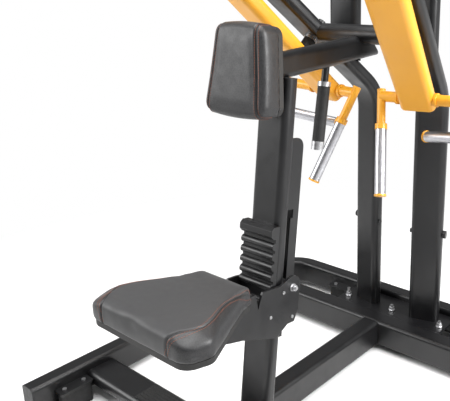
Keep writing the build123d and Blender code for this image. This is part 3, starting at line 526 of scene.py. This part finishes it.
# The top is crowned, and falls away outside the seam and towards the front, at the column.
for vertex in seat.data.vertices:
    height = (vertex.co.z - seat_low.z) / (seat_high.z - seat_low.z)
    if height > SEAT_SHAPED_ABOVE:
        outside = max(seat_distance(vertex.co), 0.0)
        crown = (CROWN_HEIGHT * falloff(vertex.co.x, CROWN_WIDTH)
                 * falloff(vertex.co.y - SEAT_MIDDLE_Y, CROWN_LENGTH))
        front = FRONT_DROP * smooth(vertex.co.y, SEAT_MIDDLE_Y - FRONT_DROP_RUN_IN, seat_high.y)
        vertex.co.z += crown - SIDE_DROP * outside * height - front * height
sew(seat, seat_distance, lambda point: seat_distance(point) > 0,
    (SMOOTH_LEATHER, PEBBLED_LEATHER, GROOVE_SHADE))
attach(seat, "seat_assembly")
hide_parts("seat_cushion")

seat_stitching = stitching("seat_stitching", seat, -2, 182, seat_aim)
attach(seat_stitching, "seat_assembly")

# ---------------------------------------------------------------- chest pad
CHEST_TILT = math.radians(9)
CHEST_FACE = Vector((0, -0.277, 1.122))
CHEST_UP = Vector((0, math.sin(CHEST_TILT), math.cos(CHEST_TILT)))
CHEST_OUT = Vector((0, -math.cos(CHEST_TILT), math.sin(CHEST_TILT)))
CHEST_HALF_HEIGHT = 0.126
CHEST_SEAM_MIDDLE = 0.080
CHEST_SEAM_FLARE = 0.119
CHEST_AIM_SHARE = 0.85
CHEST_AIM_DEPTH = 0.05
CHEST_RAY = 0.3


def chest_local(point):
    """Across, up and out of the chest pad's face."""
    from_face = point - CHEST_FACE
    return from_face.x, from_face.dot(CHEST_UP), from_face.dot(CHEST_OUT)


def chest_distance(point):
    across, up, _ = chest_local(point)
    return abs(across) - (CHEST_SEAM_MIDDLE - CHEST_SEAM_FLARE * up)


def chest_backed(point, normal):
    return normal.dot(CHEST_OUT) < -BACKING_FACES


def chest_aim(side, offset, angle):
    """A place inside the chest pad, behind its seam, and the way out of the pad from there."""
    up = math.sin(angle) * CHEST_HALF_HEIGHT
    across = side * (CHEST_SEAM_MIDDLE - CHEST_SEAM_FLARE * up + offset)
    aim = (CHEST_FACE + Vector((across, 0, 0)) + CHEST_UP * up * CHEST_AIM_SHARE
           - CHEST_OUT * CHEST_AIM_DEPTH)
    return aim, (CHEST_UP * math.sin(angle) + CHEST_OUT * math.cos(angle)) * CHEST_RAY


chest = puffed_copy("chest_upholstery", "chest_cushion", voxel=4 * MM, shrink=1 * MM,
                    cap=3.5 * MM, is_backed=chest_backed)
sew(chest, chest_distance, lambda point: True, (PEBBLED_LEATHER, PEBBLED_LEATHER, GROOVE_SHADE))
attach(chest, "frame")
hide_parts("chest_cushion")

chest_stitching = stitching("chest_stitching", chest, -88, 88, chest_aim)
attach(chest_stitching, "frame")

# ---------------------------------------------------------------- stage, light and camera
FLOOR_SIZE = 40.0
BACKDROP_BRIGHTNESS = 1.0
ROOM_BRIGHTNESS = 0.30
FADE_START = 0.8
FADE_END = 2.2
FLOOR_SHADE, FLOOR_COLOUR = (0.90, 0.90, 0.90), (0.92, 0.92, 0.92)
WHITE = (1.0, 1.0, 1.0, 1.0)
floor_mesh = bpy.data.meshes.new("floor")
half = FLOOR_SIZE / 2
floor_mesh.from_pydata([(-half, -half, 0), (half, -half, 0), (half, half, 0), (-half, half, 0)],
                       [], [(0, 1, 2, 3)])
floor_finish = Finish("studio_floor", 0.75)
floor_finish.colour(floor_finish.blended(floor_finish.noise(scale=0.6, detail=2),
                                         FLOOR_SHADE, FLOOR_COLOUR))
# Far from the machine the floor fades into the backdrop, so no horizon shows.
far_off = floor_finish.nodes.new("ShaderNodeVectorMath")
far_off.operation = "LENGTH"
floor_finish.link(floor_finish.place, far_off.inputs[0])
backdrop_glow = floor_finish.nodes.new("ShaderNodeEmission")
backdrop_glow.inputs["Strength"].default_value = BACKDROP_BRIGHTNESS
fading = floor_finish.nodes.new("ShaderNodeMixShader")
floor_finish.link(floor_finish.ranged(far_off.outputs["Value"], FADE_START, FADE_END, 0.0, 1.0),
                  fading.inputs[0])
floor_finish.link(floor_finish.shader.outputs[0], fading.inputs[1])
floor_finish.link(backdrop_glow.outputs[0], fading.inputs[2])
floor_finish.link(fading.outputs[0], floor_finish.nodes["Material Output"].inputs["Surface"])
floor = new_object("floor", floor_mesh, [floor_finish.material])

world = bpy.data.worlds.new("studio")
world.use_nodes = True
# The room's light is dim, so black coats stay black; the backdrop itself is seen bright.
room = world.node_tree.nodes["Background"]
room.inputs["Color"].default_value = WHITE
room.inputs["Strength"].default_value = ROOM_BRIGHTNESS
backdrop = world.node_tree.nodes.new("ShaderNodeBackground")
backdrop.inputs["Color"].default_value = WHITE
backdrop.inputs["Strength"].default_value = BACKDROP_BRIGHTNESS
ray_kind = world.node_tree.nodes.new("ShaderNodeLightPath")
choice = world.node_tree.nodes.new("ShaderNodeMixShader")
world_links = world.node_tree.links
world_links.new(ray_kind.outputs["Is Camera Ray"], choice.inputs[0])
world_links.new(room.outputs[0], choice.inputs[1])
world_links.new(backdrop.outputs[0], choice.inputs[2])
world_links.new(choice.outputs[0], world.node_tree.nodes["World Output"].inputs["Surface"])
scene.world = world
scene.view_settings.view_transform = "Standard"


def softbox(name, place, target, width, height, power):
    """Rectangular area light aimed at a point."""
    light = bpy.data.lights.new(name, "AREA")
    light.shape = "RECTANGLE"
    light.size = width
    light.size_y = height
    light.energy = power
    lamp = bpy.data.objects.new(name, light)
    lamp.location = place
    lamp.rotation_euler = (Vector(target) - Vector(place)).to_track_quat("-Z", "Y").to_euler()
    scene.collection.objects.link(lamp)


MIDDLE = (0.0, 0.0, 0.8)
softbox("key_light", (2.6, 0.6, 2.4), MIDDLE, width=0.9, height=2.4, power=190)
softbox("fill_light", (-2.6, -2.4, 2.2), MIDDLE, width=2.0, height=2.0, power=90)
softbox("top_light", (0.0, -0.4, 3.6), MIDDLE, width=2.6, height=2.6, power=150)

# Camera: where it stands, its turn to the left of +Y, its tilt down and its roll.
CAMERA_PLACE = (1.2354, -1.4662, 1.3544)
YAW, PITCH, ROLL = math.radians(40.404), math.radians(17.606), math.radians(1.147)
FOCAL_PIXELS = 657.91
FRAME_WIDTH = 450
SENSOR = 36.0
SHIFT_X, SHIFT_Y = -0.17, -0.04
camera_data = bpy.data.cameras.new("camera")
camera_data.sensor_width = SENSOR
camera_data.lens = FOCAL_PIXELS / FRAME_WIDTH * SENSOR
camera_data.shift_x = SHIFT_X
camera_data.shift_y = SHIFT_Y
camera = bpy.data.objects.new("camera", camera_data)
camera.matrix_world = (Matrix.Translation(CAMERA_PLACE) @ Matrix.Rotation(YAW, 4, "Z")
                       @ Matrix.Rotation(math.pi / 2 - PITCH, 4, "X")
                       @ Matrix.Rotation(-ROLL, 4, "Z"))
scene.collection.objects.link(camera)
scene.camera = camera
